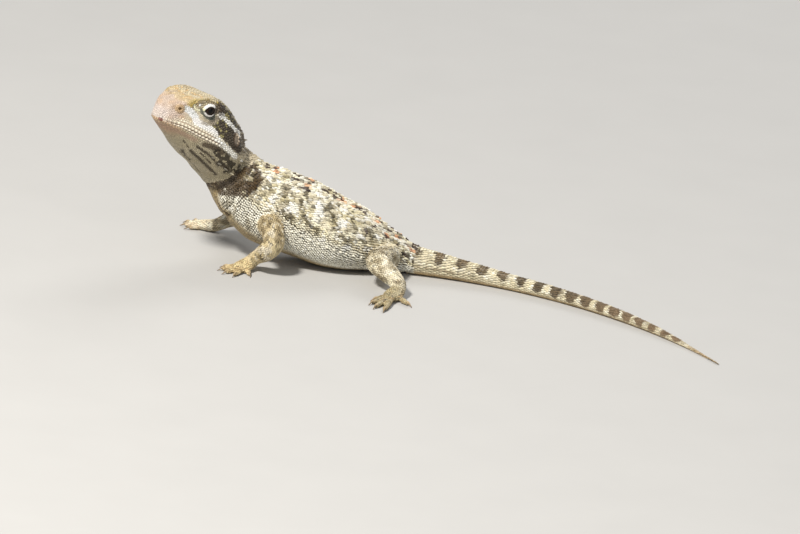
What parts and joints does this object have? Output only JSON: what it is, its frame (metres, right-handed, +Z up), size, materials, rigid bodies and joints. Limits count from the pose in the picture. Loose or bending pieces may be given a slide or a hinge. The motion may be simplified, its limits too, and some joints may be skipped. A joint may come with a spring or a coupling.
{
  "type": "rankins dragon lizard model",
  "caption": "Life-size juvenile rankins dragon, head raised and turned, front propped on its arms, belly and tail lying on the ground.",
  "frame": {"origin": "bottom centre of the model's box, on the ground", "axes": "+Z up; +X from the head towards the tail, along the longest side; the animal's left side faces -Y"},
  "size_m": [0.142, 0.0824, 0.0416],
  "materials": {
    "skin": "matt scaly skin, cream with grey-brown blotches and bands",
    "belly_skin": "matt scaly skin, pale cream below",
    "foot_skin": "matt scaly skin, yellow tan",
    "eye": "wet gloss"
  },
  "bodies": {
    "root": {"head": "skin", "eye_left": "eye", "eye_right": "eye", "neck": "skin", "torso": "belly_skin", "tail_base": "skin", "tail_middle": "skin", "tail_end": "skin", "tail_tip": "skin", "upper_arm_left": "skin", "forearm_left": "skin", "hand_left": "foot_skin", "upper_arm_right": "skin", "forearm_right": "skin", "hand_right": "foot_skin", "thigh_left": "skin", "shank_left": "skin", "foot_left": "foot_skin", "thigh_right": "skin", "shank_right": "skin", "foot_right": "foot_skin"}
  },
  "joints": []
}
